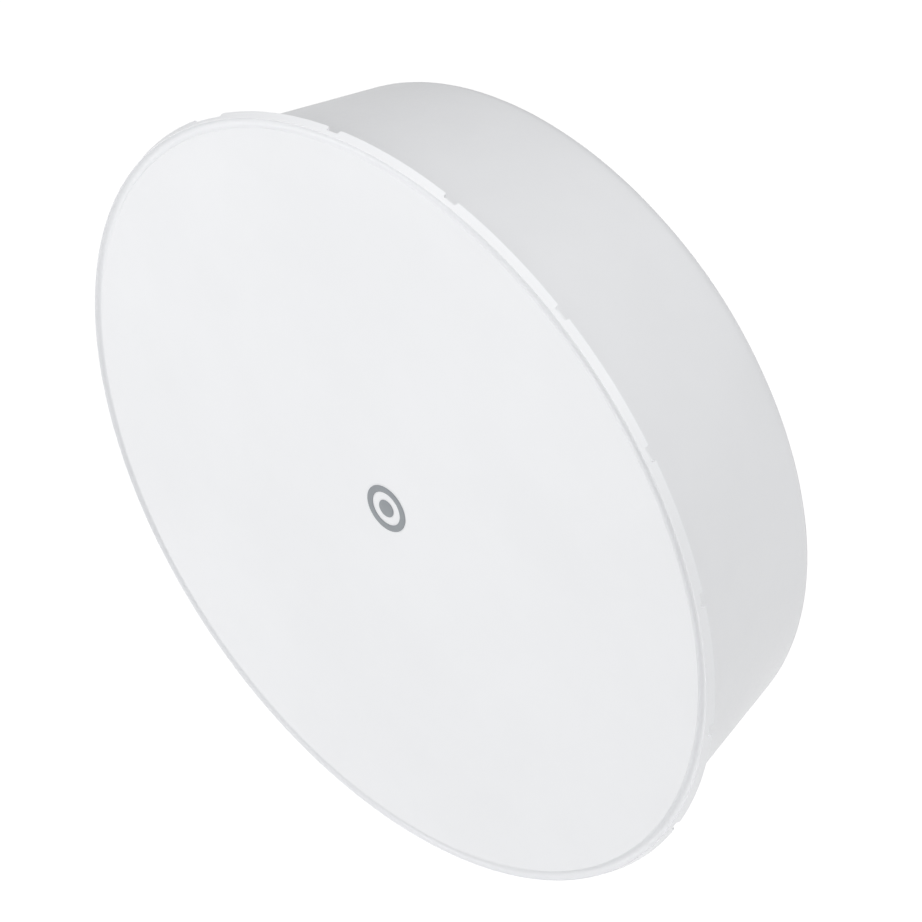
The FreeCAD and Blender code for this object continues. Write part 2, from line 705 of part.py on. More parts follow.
def port_cover():
    """Sliding plate over the port window, with finger ribs."""
    high = "axis_height"
    plate = block("cover_plate", ("-cover_half", "cover_half"),
                  ("barrel_rear + body_gap", "barrel_rear + 2.3"),
                  (f"{high} - cover_below", f"{high} + cover_above"))
    ribs = []
    for step in range(4):
        foot = f"{high} - cover_below + {2 + 3.5 * step}"
        ribs.append(block("cover_rib", (-12, 12), ("barrel_rear + 2", "barrel_rear + 3.4"),
                          (foot, f"{foot} + 1.4")))
    return node(fuse("cover", plate, *ribs), "port_cover")


# ---------------------------------------------------------------- feed

def feed_tube():
    return node(cut("tube", bar("tube_outer", "tube_radius", "tube_front", "tube_rear", 0, "axis_height"),
                    bar("tube_inner", "tube_bore", "tube_front - 1", "tube_rear + 1", 0, "axis_height")),
                "feed_tube")


def feed_cap():
    """Domed cap over the front end of the tube."""
    outer = rounded("cap_outer", bar("cap_blank", "cap_radius", "cap_front", "cap_rear", 0, "axis_height"),
                    6, circle_at("cap_radius", "cap_front"))
    seat = bar("cap_seat", "tube_radius", "tube_front", "cap_rear + 1", 0, "axis_height")
    room = bar("cap_room", "tube_bore", "cap_front + cap_wall", "tube_front + 1", 0, "axis_height")
    return node(cut("cap", outer, seat, room), "feed_cap")


def feed_collar():
    """Ring that holds the tube against the front of the dish's hub."""
    return node(turned("feed_collar", [
        ("tube_radius", f"{HUB_FRONT} - 7"),
        ("tube_radius + 2", f"{HUB_FRONT} - 7"),
        ("tube_radius + 4", f"{HUB_FRONT} - 3"),
        ("tube_radius + 4", HUB_FRONT),
        ("tube_radius", HUB_FRONT),
    ], "axis_height"), "feed_collar")


def subreflector():
    """Shallow dished plate at the focus, inside the cap."""
    front = "cap_front + cap_wall"
    return node(turned("subreflector", [
        (0, front),
        ("tube_bore - 0.5", front),
        ("tube_bore - 0.5", f"{front} + 1.6"),
        (8, f"{front} + 1.6"),
        (0, f"{front} + 5"),
    ], "axis_height"), "subreflector")


def feed_horn():
    """Flared horn in the front end of the tube."""
    return node(turned("feed_horn", [
        ("tube_bore - 1.5", "tube_front"),
        ("tube_bore", "tube_front"),
        ("tube_bore", "tube_front + 10"),
        (10, "tube_front + 16"),
        (8.5, "tube_front + 16"),
        (8.5, "tube_front + 14"),
    ], "axis_height"), "feed_horn")


BOARD_TOP = "axis_height - 7"


def radio_board():
    return node(block("board", ("-board_half", "board_half"), ("tube_front + 22", "barrel_rear - 5"),
                      (f"{BOARD_TOP} - board_thick", BOARD_TOP)), "radio_board")


def board_shield():
    front = "tube_front + 38"
    rear = "tube_front + 98"
    can = block("can", ("-can_half", "can_half"), (front, rear), (BOARD_TOP, f"{BOARD_TOP} + can_height"))
    room = block("can_room", ("can_wall - can_half", "can_half - can_wall"),
                 (f"{front} + can_wall", f"{rear} - can_wall"),
                 (f"{BOARD_TOP} - 1", f"{BOARD_TOP} + can_height - can_wall"))
    return node(cut("shield_can", can, room), "board_shield")


# ---------------------------------------------------------------- ball joint

def ball_stud():
    """Stem with a flange and a threaded end; its face is hollowed to follow the ball."""
    reach = "(ball_radius + body_gap)"
    return node(turned("ball_stud", [
        (0, "lobe_rear - stud_length"),
        ("stud_radius - 1", "lobe_rear - stud_length"),
        ("stud_radius", "lobe_rear - stud_length + 1"),
        ("stud_radius", "lobe_rear"),
        ("stud_flange", "lobe_rear"),
        ("stud_flange", "lobe_rear + 3"),
        ("stem_radius", "lobe_rear + 3"),
        ("stem_radius", f"ball_y - sqrt({reach} ^ 2 - stem_radius ^ 2)", reach),
        (0, f"ball_y - {reach}"),
    ], "ball_height"), "ball_stud")


def stud_nut():
    seat = "lobe_rear - lobe_wall"
    blank = hexagon("stud_nut_blank", "stud_nut_corner", f"{seat} - 6", seat, 0, "ball_height")
    bore = bar("stud_nut_bore", "stud_radius", f"{seat} - 8", f"{seat} + 1", 0, "ball_height")
    return node(cut("stud_nut_cut", blank, bore), "stud_nut")


def mount_ball():
    ball = doc.addObject("Part::Sphere", "mount_ball")
    bind(ball, Radius="ball_radius")
    return node(put(ball, UPRIGHT, 0, "ball_y", "ball_height"), "mount_ball")


def seat_ring():
    """Ring with a spherical seat that the lock ring presses on the ball."""
    seat = "(ball_radius + ball_fit)"
    front = "ring_front + ring_lip + body_gap"
    rear = "neck_front - body_gap"
    return node(turned("seat_ring", [
        (f"sqrt({seat} ^ 2 - (ball_y - ({front})) ^ 2)", front),
        ("neck_radius - 0.4", front),
        ("neck_radius - 0.4", rear),
        (f"sqrt({seat} ^ 2 - (ball_y - ({rear})) ^ 2)", rear, seat),
    ], "ball_height"), "seat_ring")


def lock_ring():
    """Threaded ring round the bracket's neck, with finger grips."""
    bore = "neck_radius + 0.06"
    body = turned("lock_ring", [
        ("ring_opening", "ring_front"),
        ("ring_radius - 1.2", "ring_front"),
        ("ring_radius", "ring_front + 1.2"),
        ("ring_radius", "ring_rear - 1"),
        ("ring_radius - 1", "ring_rear"),
        (bore, "ring_rear"),
        (bore, "ring_front + ring_lip"),
        ("ring_opening", "ring_front + ring_lip"),
    ], "ball_height")
    polar_pocket(body, "grip", "XZ_Plane", [
        ("ring_radius - 0.9", -1.6),
        ("ring_radius + 2", -2.6),
        ("ring_radius + 2", 2.6),
        ("ring_radius - 0.9", 1.6, "0 - 2.2"),
    ], 16)
    return node(body, "lock_ring")


# ---------------------------------------------------------------- pole bracket

def pole_bracket():
    """Saddle block on the pole, with a hollowed neck that the ball sits in."""
    tall = ("saddle_bottom", "saddle_top")
    raw = block("saddle_blank", ("-saddle_half", "saddle_half"), ("saddle_front", "saddle_rear"), tall)
    saddle = rounded("saddle", raw, 5, front_upright)
    neck = bar("neck", "neck_radius", "neck_front", "saddle_front + 2", 0, "ball_height")
    solid = fuse("bracket_blank", saddle, neck)
    pole = doc.addObject("Part::Cylinder", "pole_space")
    bind(pole, Radius="pole_radius", Height="200")
    put(pole, UPRIGHT, 0, 0, -100)
    socket = doc.addObject("Part::Sphere", "socket")
    bind(socket, Radius="ball_radius + ball_fit")
    put(socket, UPRIGHT, 0, "ball_y", "ball_height")
    outer = "pole_radius + strap_thick + 0.4"
    tunnel = block("tunnel_outer", (f"-({outer})", outer),
                   ("strap_front - strap_thick - 0.6", "saddle_rear + 1"),
                   ("-strap_half - 0.4", "strap_half + 0.4"))
    core = block("tunnel_core", ("0.4 - pole_radius", "pole_radius - 0.4"),
                 ("strap_front", "saddle_rear + 2"), ("-strap_half - 1", "strap_half + 1"))
    passage = cut("strap_tunnel", tunnel, core)
    relief = block("saddle_relief", ("10 - saddle_half", "saddle_half - 10"),
                   ("saddle_front - 1", "saddle_front + 4"), ("saddle_bottom + 5", "-strap_half - 4"))
    return node(cut("bracket_finished", solid, pole, socket, passage, relief), "pole_bracket")


def front_upright(edge):
    """The two front vertical edges of the saddle block."""
    box = edge.BoundBox
    return box.ZLength > 50 and abs(box.YMax - size("saddle_front")) < 0.1


def upright_loop(name, radius, front, half_height):
    """Solid U: a half disc behind the pole axis and a block ahead of it."""
    disc = doc.addObject("Part::Cylinder", name + "_disc")
    bind(disc, Radius=radius, Height=f"2 * ({half_height})")
    put(disc, UPRIGHT, 0, 0, f"-({half_height})")
    body = block(name + "_block", (f"-({radius})", radius), (front, 0), (f"-({half_height})", half_height))
    return fuse(name, disc, body)


def mast_strap():
    """Perforated steel band round the pole and through the bracket."""
    outside = upright_loop("strap_outside", "pole_radius + strap_thick", "strap_front - strap_thick",
                           "strap_half")
    inside = upright_loop("strap_inside", "pole_radius", "strap_front", "strap_half + 1")
    doc.recompute()
    slots = []
    for index in range(15):
        slot = Part.makeBox(6, 1.6, 8, Vector(size("pole_radius") - 2, -0.8, -4))
        slot.rotate(Vector(0, 0, 0), Vector(0, 0, 1), 6 + index * 10)
        slots.append(slot)
    thread = doc.addObject("Part::Feature", "strap_slots")
    thread.Shape = Part.makeCompound(slots)
    return node(cut("strap", outside, inside, thread), "mast_strap")


def strap_housing():
    """Worm housing riveted on the strap."""
    inner = "0 - pole_radius - strap_thick"
    blank = block("worm_blank", ("worm_x - 6.5", inner), ("house_front", "house_rear"),
                  ("-house_half", "house_half"))
    shell = rounded("worm_shell", blank, 3, outer_long)
    bore = bar("worm_bore", "worm_radius + 0.08", "house_front - 1", "house_rear + 1", "worm_x", 0)
    window = block("worm_window", ("worm_x - 8", "worm_x"), ("house_front + 4", "house_rear - 4"),
                   (-3.4, 3.4))
    return node(cut("worm_housing", shell, bore, window), "strap_housing")


def outer_long(edge):
    """The two long edges of the strap housing that face away from the pole."""
    box = edge.BoundBox
    return box.YLength > 15 and box.XMax < size("worm_x")


def strap_screw():
    """Worm screw with turned grooves and a slotted hexagon head."""
    shank = bar("worm_shank", "worm_radius", -9, "worm_rear", "worm_x", 0)
    rings = []
    for turn in range(7):
        start = -6.5 + 2.2 * turn
        rings.append(bar("worm_groove", "worm_radius + 1", f"{start}", f"{start} + 0.9", "worm_x", 0))
    core = bar("worm_core", "worm_radius - 0.7", -7, 8, "worm_x", 0)
    grooves = cut("worm_grooves", fuse("worm_groove_set", *rings), core)
    head = hexagon("worm_hexagon", "worm_head", "worm_rear", "worm_rear + 5.6", "worm_x", 0)
    slot = block("worm_slot", ("worm_x - 7", "worm_x + 7"), ("worm_rear + 3.8", "worm_rear + 6.6"),
                 (-0.7, 0.7))
    return node(cut("worm_cut", fuse("worm", shank, head), grooves, slot), "strap_screw")


def build():
    for make in (radome_cover, front_badge, radome_seal, shroud, rim_screws, rim_nuts,
                 dish_reflector, hub_gasket, rear_housing, light_pipes, housing_screws, port_plate,
                 ethernet_jack, jack_contacts, reset_button, port_cover, feed_tube, feed_cap,
                 feed_collar, subreflector, feed_horn, radio_board, board_shield, ball_stud, stud_nut,
                 mount_ball, seat_ring, lock_ring, pole_bracket, mast_strap, strap_housing, strap_screw):
        make()


def check_and_write():
    doc.recompute()
    for thing in doc.Objects:
        if "Invalid" in thing.State or "Error" in thing.State:
            raise RuntimeError(f"{thing.Name} did not build: {thing.State}")
    for label, thing in NODES.items():
        shape = thing.Shape
        if shape.isNull() or not shape.isValid() or not shape.Solids:
            raise RuntimeError(f"{label} has no valid solid")
    os.makedirs("parts", exist_ok=True)
    for label, thing in NODES.items():
        thing.Shape.exportStep(f"parts/{label}.step")
        box = thing.Shape.BoundBox
        print(f"{label:16s} {len(thing.Shape.Solids):2d} solids {thing.Shape.Volume / 1000:9.2f} cm3"
              f"  x {box.XMin:.1f} {box.XMax:.1f}  y {box.YMin:.1f} {box.YMax:.1f}"
              f"  z {box.ZMin:.1f} {box.ZMax:.1f}")


build()
check_and_write()
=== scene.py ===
"""Looks of the outdoor wireless bridge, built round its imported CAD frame.

Everything is in metres in the row frame: +Z up, the antenna faces -Y, and the pole's axis is
the Z axis. The dish axis runs along Y at AXIS_Z.
"""
import json
from math import atan, cos, pi, radians, sin, sqrt

import bmesh
import bpy
from mathutils import Matrix, Vector


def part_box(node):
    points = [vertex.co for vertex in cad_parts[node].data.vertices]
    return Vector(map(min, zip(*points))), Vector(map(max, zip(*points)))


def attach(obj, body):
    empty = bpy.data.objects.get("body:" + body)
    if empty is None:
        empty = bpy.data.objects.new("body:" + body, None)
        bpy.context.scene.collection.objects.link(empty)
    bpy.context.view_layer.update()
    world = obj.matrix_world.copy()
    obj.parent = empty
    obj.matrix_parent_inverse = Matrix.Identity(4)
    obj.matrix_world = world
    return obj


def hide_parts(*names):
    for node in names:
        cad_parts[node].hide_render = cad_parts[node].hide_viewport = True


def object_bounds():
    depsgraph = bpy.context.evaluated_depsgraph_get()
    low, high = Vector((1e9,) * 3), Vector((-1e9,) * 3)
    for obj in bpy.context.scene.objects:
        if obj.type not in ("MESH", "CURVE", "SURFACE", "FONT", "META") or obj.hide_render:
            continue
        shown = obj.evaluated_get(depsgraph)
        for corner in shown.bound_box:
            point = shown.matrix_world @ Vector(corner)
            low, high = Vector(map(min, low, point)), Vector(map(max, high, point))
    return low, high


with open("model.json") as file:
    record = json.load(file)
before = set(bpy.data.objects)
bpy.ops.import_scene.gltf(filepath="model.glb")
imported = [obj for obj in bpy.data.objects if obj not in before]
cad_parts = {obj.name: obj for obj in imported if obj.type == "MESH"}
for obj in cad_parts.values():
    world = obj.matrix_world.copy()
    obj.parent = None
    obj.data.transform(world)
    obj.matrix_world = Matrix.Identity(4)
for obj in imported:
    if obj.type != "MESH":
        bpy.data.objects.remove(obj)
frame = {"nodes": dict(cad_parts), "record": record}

CAD_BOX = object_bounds()
NODES = frame["nodes"]
MM = 0.001
SLOTS = {row["node"]: row["material_slot"] for row in frame["record"]["subparts"]}


# ---------------------------------------------------------------- places read from the frame

def middle(node):
    low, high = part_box(node)
    return (low + high) / 2


AXIS_Z = middle("radome_cover").z
SKIRT_RADIUS = (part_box("radome_cover")[1].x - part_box("radome_cover")[0].x) / 2
CREST_RADIUS = 228 * MM
FACE_LEAD = 4.0 * MM
CREST_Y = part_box("radome_cover")[0].y + FACE_LEAD
WALL = 2.2 * MM
EDGE = 0.3 * MM
APART = 0.01 * MM


# ---------------------------------------------------------------- materials

class Paint:
    """A Principled material with short helpers for its node tree."""

    def __init__(self, name, roughness, metallic=0.0, coat=0.0, specular=0.5):
        self.material = bpy.data.materials.new(name)
        self.material.use_nodes = True
        self.tree = self.material.node_tree
        self.shader = self.tree.nodes["Principled BSDF"]
        self.shader.inputs["Roughness"].default_value = roughness
        self.shader.inputs["Metallic"].default_value = metallic
        self.shader.inputs["Coat Weight"].default_value = coat
        self.shader.inputs["Specular IOR Level"].default_value = specular
        self.place = self.tree.nodes.new("ShaderNodeTexCoord").outputs["Object"]

    def link(self, output, target):
        self.tree.links.new(output, target)

    def stretched(self, scale):
        """Object coordinates scaled differently along each axis."""
        mapping = self.tree.nodes.new("ShaderNodeMapping")
        mapping.inputs["Scale"].default_value = scale
        self.link(self.place, mapping.inputs["Vector"])
        return mapping.outputs["Vector"]

    def distance(self):
        """Distance from the object's own origin across the floor."""
        flat = self.tree.nodes.new("ShaderNodeVectorMath")
        flat.operation = "MULTIPLY"
        flat.inputs[1].default_value = (1.0, 1.0, 0.0)
        self.link(self.place, flat.inputs[0])
        length = self.tree.nodes.new("ShaderNodeVectorMath")
        length.operation = "LENGTH"
        self.link(flat.outputs["Vector"], length.inputs[0])
        return length.outputs["Value"]

    def noise(self, scale, detail=3.0, rough=0.55, place=None):
        node = self.tree.nodes.new("ShaderNodeTexNoise")
        node.inputs["Scale"].default_value = scale
        node.inputs["Detail"].default_value = detail
        node.inputs["Roughness"].default_value = rough
        self.link(place or self.place, node.inputs["Vector"])
        return node.outputs["Fac"]

    def spread(self, value, low, high, start=0.35, stop=0.65):
        """Map a noise value from start..stop to low..high."""
        node = self.tree.nodes.new("ShaderNodeMapRange")
        node.inputs["From Min"].default_value = start
        node.inputs["From Max"].default_value = stop
        node.inputs["To Min"].default_value = low
        node.inputs["To Max"].default_value = high
        self.link(value, node.inputs["Value"])
        return node.outputs["Result"]

    def blend(self, factor, first, second):
        node = self.tree.nodes.new("ShaderNodeMix")
        node.data_type = "RGBA"
        self.link(factor, node.inputs["Factor"])
        for socket, colour in ((node.inputs[6], first), (node.inputs[7], second)):
            if isinstance(colour, tuple):
                socket.default_value = (*colour, 1.0)
            else:
                self.link(colour, socket)
        return node.outputs[2]

    def colour(self, output):
        self.link(output, self.shader.inputs["Base Color"])

    def roughness(self, output):
        self.link(output, self.shader.inputs["Roughness"])

    def bump(self, height, distance, strength=1.0):
        """Stack one more bump on the shader's normal."""
        node = self.tree.nodes.new("ShaderNodeBump")
        node.inputs["Strength"].default_value = strength
        node.inputs["Distance"].default_value = distance
        self.link(height, node.inputs["Height"])
        normal = self.shader.inputs["Normal"]
        if normal.is_linked:
            self.link(normal.links[0].from_socket, node.inputs["Normal"])
        self.link(node.outputs["Normal"], normal)


def shaded(colour, factor):
    return tuple(min(1.0, channel * factor) for channel in colour)


def moulded(name, colour, roughness=0.42, grain=0.03, drift=0.03, coat=0.0):
    """Injection-moulded plastic: fine spark-eroded grain, faint flow marks, uneven gloss."""
    paint = Paint(name, roughness, coat=coat, specular=0.45)
    flow = paint.noise(9.0, 4.0, 0.6)
    fine = paint.noise(2600.0, 2.0, 0.7)
    coarse = paint.noise(420.0, 3.0, 0.6)
    tones = paint.spread(flow, 0.0, 1.0)
    paint.colour(paint.blend(tones, shaded(colour, 1.0 - drift), shaded(colour, 1.0 + drift * 0.5)))
    paint.roughness(paint.spread(coarse, roughness - 0.06, roughness + 0.08))
    paint.bump(fine, grain * MM)
    paint.bump(coarse, grain * 0.8 * MM)
    return paint.material


def powder_coat(name, colour, roughness=0.38, metallic=0.0):
    """Powder coat: a soft orange-peel surface with small pits."""
    paint = Paint(name, roughness, metallic=metallic, coat=0.15)
    peel = paint.noise(300.0, 2.0, 0.5)
    pits = paint.noise(1500.0, 3.0, 0.6)
    tone = paint.noise(14.0, 3.0, 0.55)
    paint.colour(paint.blend(paint.spread(tone, 0.0, 1.0), shaded(colour, 0.95), shaded(colour, 1.03)))
    paint.roughness(paint.spread(pits, roughness - 0.05, roughness + 0.10))
    paint.bump(peel, 0.10 * MM)
    paint.bump(pits, 0.03 * MM)
    return paint.material


def brushed(name, colour, grain=(40.0, 2400.0, 40.0), roughness=0.30):
    """Rolled or turned metal with fine directional scratches."""
    paint = Paint(name, roughness, metallic=1.0)
    lines = paint.noise(1.0, 4.0, 0.65, paint.stretched(grain))
    tone = paint.noise(60.0, 3.0, 0.6)
    paint.colour(paint.blend(paint.spread(tone, 0.0, 1.0), shaded(colour, 0.86), shaded(colour, 1.08)))
    paint.roughness(paint.spread(lines, roughness - 0.08, roughness + 0.14))
    paint.bump(lines, 0.02 * MM)
    return paint.material


def rubber(name, colour):
    paint = Paint(name, 0.75, specular=0.3)
    speck = paint.noise(900.0, 3.0, 0.6)
    tone = paint.noise(30.0, 3.0, 0.6)
    paint.colour(paint.blend(paint.spread(tone, 0.0, 1.0), shaded(colour, 0.8), shaded(colour, 1.3)))
    paint.roughness(paint.spread(speck, 0.66, 0.86))
    paint.bump(speck, 0.05 * MM)
    return paint.material


WHITE = (0.83, 0.8375, 0.854)
SHELL = (0.78, 0.787, 0.803)


def make_materials():
    """One material for each slot of the record."""
    return {
        "radome_plastic": moulded("radome_plastic", WHITE, 0.40, 0.015, 0.015),
        "badge_ink": moulded("badge_ink", (0.27, 0.29, 0.31), 0.5, 0.01, 0.05),
        "seal_rubber": rubber("seal_rubber", (0.03, 0.03, 0.032)),
        "shroud_plastic": moulded("shroud_plastic", SHELL, 0.44, 0.02, 0.02),
        "dish_paint": powder_coat("dish_paint", (0.70, 0.71, 0.71)),
        "housing_plastic": moulded("housing_plastic", SHELL, 0.46, 0.03, 0.03),
        "screw_steel": brushed("screw_steel", (0.60, 0.60, 0.59), (900.0, 60.0, 900.0), 0.28),
        "strap_steel": brushed("strap_steel", (0.62, 0.63, 0.64), (40.0, 40.0, 2600.0), 0.26),
        "bracket_metal": powder_coat("bracket_metal", (0.52, 0.53, 0.54), 0.45),
        "ball_metal": brushed("ball_metal", (0.68, 0.68, 0.69), (300.0, 2600.0, 300.0), 0.22),
        "ring_plastic": moulded("ring_plastic", (0.10, 0.105, 0.11), 0.5, 0.05, 0.08),
        "seat_nylon": moulded("seat_nylon", (0.72, 0.70, 0.62), 0.5, 0.02, 0.05),
        "cover_plastic": moulded("cover_plastic", SHELL, 0.46, 0.03, 0.03),
        "plate_plastic": moulded("plate_plastic", (0.05, 0.052, 0.055), 0.5, 0.03, 0.1),
        "jack_plastic": moulded("jack_plastic", (0.02, 0.02, 0.022), 0.4, 0.02, 0.1),
        "button_plastic": moulded("button_plastic", (0.03, 0.03, 0.033), 0.45, 0.02, 0.1),
        "light_plastic": moulded("light_plastic", (0.80, 0.84, 0.86), 0.12, 0.0, 0.02),
        "feed_plastic": moulded("feed_plastic", (0.74, 0.74, 0.71), 0.45, 0.03, 0.03),
        "feed_metal": brushed("feed_metal", (0.76, 0.76, 0.77), (600.0, 2600.0, 600.0), 0.25),
        "board_laminate": moulded("board_laminate", (0.02, 0.12, 0.06), 0.3, 0.02, 0.15),
        "contact_gold": brushed("contact_gold", (0.83, 0.62, 0.25), (40.0, 1200.0, 40.0), 0.2),
        "shield_tin": brushed("shield_tin", (0.74, 0.74, 0.72), (40.0, 1200.0, 40.0), 0.3),
    }


def paint_nodes(materials):
    """Give every CAD node its slot's material."""
    for name, thing in NODES.items():
        if not thing.material_slots:
            thing.data.materials.append(materials[SLOTS[name]])
        for socket in thing.material_slots:
            socket.material = materials[SLOTS[name]]


# ---------------------------------------------------------------- mesh helpers

def finish_piece(name, mesh, node, material, body="antenna", sharp=32.0):
    """Make the mesh a piece that stands for a CAD node."""
    mesh.materials.clear()
    mesh.materials.append(material)
    mesh.set_sharp_from_angle(angle=radians(sharp))
    for face in mesh.polygons:
        face.use_smooth = True
    piece = bpy.data.objects.new(name, mesh)
    bpy.context.scene.collection.objects.link(piece)
    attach(piece, body)
    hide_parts(node)
    return piece


def arc(start, end, bow, steps):
    """Points after start up to end on an arc that bows out to the left by a distance."""
    start = Vector(start)
    end = Vector(end)
    chord = end - start
    left = Vector((-chord.y, chord.x)).normalized()
    half = chord.length / 2
    radius = (half * half + bow * bow) / (2 * abs(bow))
    centre = (start + end) / 2 + left * (bow - radius if bow > 0 else bow + radius)
    spoke = start - centre
    sweep = spoke.angle_signed(end - centre)
    points = []
    for step in range(1, steps + 1):
        turn = Matrix.Rotation(-sweep * step / steps, 2)
        points.append(tuple(centre + turn @ spoke))
    return points


def lathe_mesh(name, sections, height):
    """Mesh turned about the Y axis at a height.

    A section is (angle, outline), every outline with the same number of (radius, station)
    points. Points on the axis become one.
    """
    shape = bmesh.new()
    rings = []
    for angle, outline in sections:
        across = cos(angle)
        upward = sin(angle)
        rings.append([shape.verts.new((spot[0] * across, spot[1], height + spot[0] * upward))
                      for spot in outline])
    count = len(rings[0])
    for index, ring in enumerate(rings):
        following = rings[(index + 1) % len(rings)]
        for spot in range(count):
            after = (spot + 1) % count
            shape.faces.new((ring[spot], ring[after], following[after], following[spot]))
    bmesh.ops.remove_doubles(shape, verts=shape.verts, dist=1e-6)
    bmesh.ops.dissolve_degenerate(shape, edges=shape.edges, dist=1e-6)
    bmesh.ops.recalc_face_normals(shape, faces=shape.faces)
    mesh = bpy.data.meshes.new(name)
    shape.to_mesh(mesh)
    shape.free()
    return mesh


def even_sections(outline, count):
    return [(2 * pi * index / count, outline) for index in range(count)]


def refined(node, width, body="antenna", sharp=28.0):
    """Stand-in for a CAD node with its edges broken by small bevels."""
    source = NODES[node]
    shape = bmesh.new()
    shape.from_mesh(source.data)
    bmesh.ops.remove_doubles(shape, verts=shape.verts, dist=1e-6)
    bmesh.ops.dissolve_limit(shape, angle_limit=radians(0.4), verts=shape.verts, edges=shape.edges)
    edges = []
    for edge in shape.edges:
        if len(edge.link_faces) == 2 and edge.calc_face_angle(0.0) > radians(sharp):
            edges.append(edge)
    bmesh.ops.bevel(shape, geom=edges, offset=width, offset_type="OFFSET", segments=2, profile=0.6,
                    affect="EDGES", clamp_overlap=True, harden_normals=False)
    bmesh.ops.recalc_face_normals(shape, faces=shape.faces)
    mesh = bpy.data.meshes.new(node + "_finished")
    shape.to_mesh(mesh)
    shape.free()
    return finish_piece(node + "_finished", mesh, node, MATERIALS[SLOTS[node]], body, 40.0)


# ---------------------------------------------------------------- front cover

NOTCH_PHASE = 127.4
NOTCH_SPACING = 21.3
NOTCH_GROUP = 7
NOTCH_HALF = 4.2 * MM
SLOT_HALF = 12.8 * MM
NOTCH_ROUND = 0.8 * MM
NOTCH_FLOOR = 3.2 * MM
LAND_STEPS = 22
FACE_MIDDLE = 14.0 * MM
FACE_EDGE = 222.2 * MM
FACE_RISE = 4.2 * MM
TROUGH_START = (222.4 * MM, 0.65 * MM)
TROUGH_BOW = 1.9 * MM
CREST_START = (227.6 * MM, 0.6 * MM)
CREST_END = (CREST_RADIUS, 0.4 * MM)
CREST_BOW = 0.16 * MM
RIM_DEPTH = 5.7 * MM
RIM_INNER = 213.0 * MM
SKIRT_INNER = 226.2 * MM
SKIRT_LEAN = 1.5 * MM


def dome(radius):
    """Station of the domed face at a radius, measured back from the crest."""
    share = (radius ** 2 - FACE_MIDDLE ** 2) / (FACE_EDGE ** 2 - FACE_MIDDLE ** 2)
    return FACE_RISE * share - FACE_LEAD


def face_radii(last, steps):
    """Radii from the flat middle of the face out to a last one."""
    return [FACE_MIDDLE + (last - FACE_MIDDLE) * part / steps for part in range(steps + 1)]


def rim_outline(floor):
    """Section of the cover, with its skirt ending at a depth behind the crest."""
    outer = SKIRT_RADIUS - SKIRT_LEAN * (1 - floor / RIM_DEPTH)
    front = [(0.0, dome(FACE_MIDDLE))] + [(radius, dome(radius)) for radius in face_radii(221.8 * MM, 24)]
    front += [(222.1 * MM, 0.23 * MM), (222.3 * MM, 0.40 * MM), TROUGH_START]
    front += arc(TROUGH_START, CREST_START, TROUGH_BOW, 16)
    front += arc(CREST_START, CREST_END, -CREST_BOW, 4)
    ease = 0.35 * MM
    rim = [(outer, floor - ease), (outer - 0.1 * MM, floor - 0.1 * MM), (outer - ease, floor)]
    rim += [(SKIRT_INNER + APART, floor), (SKIRT_INNER, RIM_DEPTH - APART)]
    rim += [(RIM_INNER + EDGE, RIM_DEPTH), (RIM_INNER, RIM_DEPTH - EDGE), (RIM_INNER, dome(RIM_INNER) + WALL)]
    back = [(radius, dome(radius) + WALL) for radius in reversed(face_radii(212.0 * MM, 16))]
    back += [(0.0, dome(FACE_MIDDLE) + WALL)]
    return [(radius, CREST_Y + depth) for radius, depth in front + rim + back]


def notch_steps(half):
    """(offset along the rim, skirt depth) from the middle of a notch outwards."""
    quarter = [pi / 2 * part / 4 for part in range(5)]
    steps = [(0.0, NOTCH_FLOOR), (half * 0.4, NOTCH_FLOOR)]
    for turn in quarter:
        steps.append((half - NOTCH_ROUND * (1 - sin(turn)), NOTCH_FLOOR + NOTCH_ROUND * (1 - cos(turn))))
    for turn in quarter:
        steps.append((half + NOTCH_ROUND * (1 - cos(turn)) + APART,
                      RIM_DEPTH - NOTCH_ROUND * (1 - sin(turn))))
    return steps


def notch_places():
    """(angle, half width) of every notch: a wide one, then a group of narrow ones, twice."""
    places = []
    lead = 90 - NOTCH_SPACING * (NOTCH_GROUP - 1) / 2
    for side in (0, 180):
        start = NOTCH_PHASE - 180 + side
        places.append((radians(start), SLOT_HALF))
        for number in range(NOTCH_GROUP):
            places.append((radians(start + lead + NOTCH_SPACING * number), NOTCH_HALF))
    return places


def make_cover():
    """Domed cover with a trough inside its crest, a notched skirt and a flat rear face on the seal."""
    places = notch_places()
    sections = []
    for index, (angle, half) in enumerate(places):
        steps = notch_steps(half)
        for offset, depth in [(-offset, depth) for offset, depth in reversed(steps[1:])] + steps:
            sections.append((angle + offset / SKIRT_RADIUS, rim_outline(depth)))
        after, next_half = places[(index + 1) % len(places)]
        start = angle + steps[-1][0] / SKIRT_RADIUS
        stop = after - notch_steps(next_half)[-1][0] / SKIRT_RADIUS
        if stop < start:
            stop += 2 * pi
        for part in range(1, LAND_STEPS):
            sections.append((start + (stop - start) * part / LAND_STEPS, rim_outline(RIM_DEPTH)))
    mesh = lathe_mesh("front_cover", sections, AXIS_Z)
    return finish_piece("front_cover", mesh, "radome_cover", MATERIALS["radome_plastic"])


# ---------------------------------------------------------------- shroud and dish

ROUND_SECTIONS = 384
SHROUD_RADIUS = 219.8 * MM
SHROUD_TAPER = 0.2406
SHROUD_CORNER = 15.4 * MM
SHROUD_MOUTH = 169.0 * MM
MOUTH_EDGE = 0.4 * MM
SEAT_INNER = 212.0 * MM
SEAL_INNER = 214.5 * MM
SEAL_OUTER = 217.5 * MM
SEAL_DEPTH = 1.6 * MM
FLANGE_RADIUS = 222.5 * MM
FLANGE_DEPTH = 3.0 * MM


